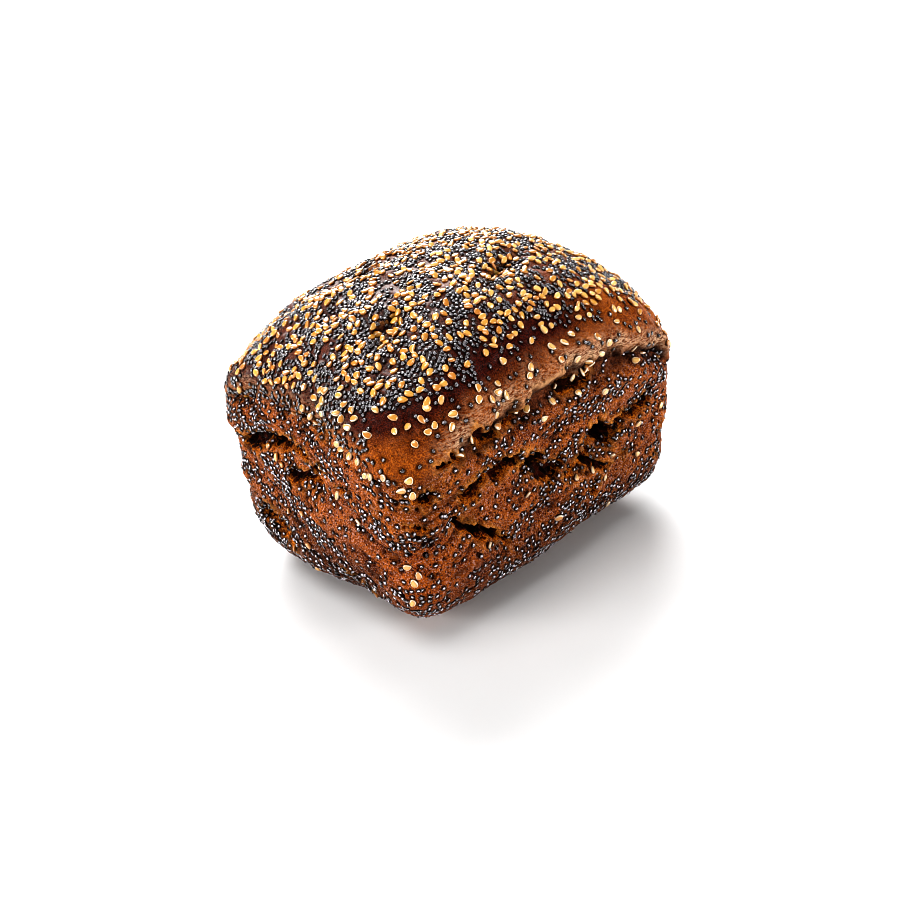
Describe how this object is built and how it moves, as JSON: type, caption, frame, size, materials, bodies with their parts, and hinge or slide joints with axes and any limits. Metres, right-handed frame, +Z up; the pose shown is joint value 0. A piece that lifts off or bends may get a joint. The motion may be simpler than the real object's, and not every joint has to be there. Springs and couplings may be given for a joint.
{
  "type": "seeded tin loaf of bread",
  "caption": "Small uncut tin loaf of dark chia bread: square tin-shaped walls, a torn crease and a domed crown crusted with sesame and chia seeds.",
  "frame": {"origin": "middle of the footprint, on the flat bottom the loaf stands on", "axes": "+X along the loaf's length, +Y across it, +Z up"},
  "size_m": [0.1304, 0.1036, 0.1056],
  "materials": {
    "crust": "baked dark brown crust, dull and finely porous on the walls, redder and half glossy on the crown",
    "sesame": "toasted golden sesame, satin",
    "chia": "near black blue-grey seed, glossy"
  },
  "bodies": {
    "root": {"loaf": "crust"}
  },
  "joints": []
}
